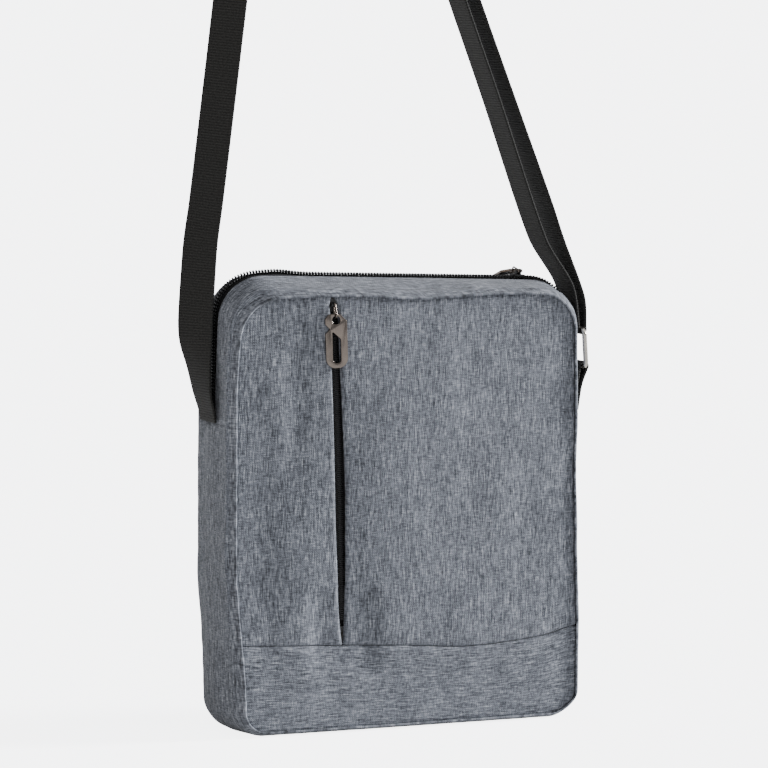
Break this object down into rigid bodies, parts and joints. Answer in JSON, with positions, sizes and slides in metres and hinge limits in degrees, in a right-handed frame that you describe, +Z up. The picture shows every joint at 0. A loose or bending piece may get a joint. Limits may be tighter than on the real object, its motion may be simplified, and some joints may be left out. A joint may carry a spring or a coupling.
{
  "type": "messenger bag",
  "caption": "Small upright crossbody bag in heather cloth, with a zipped mouth, an upright front zip pocket and a webbing shoulder strap.",
  "frame": {"origin": "centre of the flat base that the bag stands on", "axes": "+X along the width, +Y to the back face, +Z up"},
  "size_m": [0.2579, 0.07, 0.5327],
  "materials": {
    "heather_cloth": "grey heather woven polyester",
    "heather_cloth_crosswise": "the same cloth turned a quarter turn",
    "webbing": "black ribbed webbing",
    "zip_tape": "black woven tape",
    "zip_coil": "black nylon coil",
    "zip_stop": "black moulded stop",
    "slider_metal": "black painted zinc",
    "pull_metal": "dark nickel plate",
    "strap_nickel": "bright nickel plate",
    "lining": "black plain-weave lining",
    "foam": "thin closed-cell foam",
    "binding": "black seam tape"
  },
  "bodies": {
    "bag": {"front_left_panel": "heather_cloth", "front_right_panel": "heather_cloth", "front_lower_band": "heather_cloth_crosswise", "back_panel_lower": "heather_cloth", "side_bottom_gusset": "heather_cloth", "zip_gusset_front_strip": "heather_cloth", "front_seam_binding": "binding", "back_seam_binding_lower": "binding", "front_foam": "foam", "front_lining": "lining", "gusset_lining": "lining", "back_foam_lower": "foam", "back_lining_lower": "lining", "main_zip_front_tape": "zip_tape", "main_zip_front_coil": "zip_coil", "main_zip_end_stops": "zip_stop", "pocket_zip_left_tape": "zip_tape", "pocket_zip_left_coil": "zip_coil", "pocket_zip_right_tape": "zip_tape", "pocket_zip_right_coil": "zip_coil", "pocket_zip_end_stops": "zip_stop", "pocket_pouch": "lining"},
    "mouth_leaf": {"back_panel_upper": "heather_cloth", "zip_gusset_back_strip": "heather_cloth", "back_seam_binding_upper": "binding", "back_foam_upper": "foam", "back_lining_upper": "lining", "main_zip_back_tape": "zip_tape", "main_zip_back_coil": "zip_coil"},
    "pocket_slider": {"pocket_zip_slider": "slider_metal"},
    "pocket_link": {"pocket_zip_slider_link": "pull_metal"},
    "pocket_tag": {"pocket_zip_pull_tag": "pull_metal"},
    "main_slider": {"main_zip_slider": "slider_metal"},
    "main_link": {"main_zip_slider_link": "pull_metal"},
    "main_tag": {"main_zip_pull_tag": "pull_metal"},
    "strap": {"strap_webbing": "webbing", "strap_return_webbing": "webbing", "strap_ring_loop": "webbing", "strap_ring": "strap_nickel"},
    "adjuster": {"adjuster_frame": "strap_nickel", "adjuster_bar": "strap_nickel", "strap_end_loop": "webbing"}
  },
  "joints": [
    {"name": "mouth_open", "type": "hinge", "parent": "bag", "child": "mouth_leaf", "pos_m": [0, 0.0294, 0.1837], "axis": [-1, 0, 0], "range_deg": [0, 30]},
    {"name": "main_zip_slide", "type": "slide", "parent": "bag", "child": "main_slider", "axis": [-0.9994, 0, 0.035], "range_m": [0, 0.1401]},
    {"name": "main_link_tilt", "type": "hinge", "parent": "main_slider", "child": "main_link", "pos_m": [0.08222, 0, 0.26878], "axis": [0.9994, 0, -0.035], "range_deg": [0, 120]},
    {"name": "main_tag_tilt", "type": "hinge", "parent": "main_link", "child": "main_tag", "pos_m": [0.08224, 0.00577, 0.26928], "axis": [0.9994, 0, -0.035], "range_deg": [0, 50]},
    {"name": "pocket_zip_slide", "type": "slide", "parent": "bag", "child": "pocket_slider", "axis": [0.0366, 0, -0.9993], "range_m": [0, 0.165]},
    {"name": "pocket_link_tilt", "type": "hinge", "parent": "pocket_slider", "child": "pocket_link", "pos_m": [-0.05022, -0.0303, 0.25373], "axis": [-0.9993, 0, -0.0366], "range_deg": [0, 120]},
    {"name": "pocket_tag_tilt", "type": "hinge", "parent": "pocket_link", "child": "pocket_tag", "pos_m": [-0.05001, -0.0318, 0.24814], "axis": [-0.9993, 0, -0.0366], "range_deg": [0, 50]},
    {"name": "strap_swing", "type": "hinge", "parent": "bag", "child": "strap", "pos_m": [0, 0, 0.1835], "axis": [1, 0, 0], "range_deg": [-110, 110]},
    {"name": "adjuster_slide", "type": "slide", "parent": "strap", "child": "adjuster", "axis": [-0.1234, 0, -0.9924], "range_m": [0, 0.12]}
  ],
  "couplings": [
    {"joint": "main_zip_slide", "follows": "mouth_open", "m_per_rad": 0.26738},
    {"joint": "main_link_tilt", "follows": "mouth_open", "ratio": 4}
  ]
}
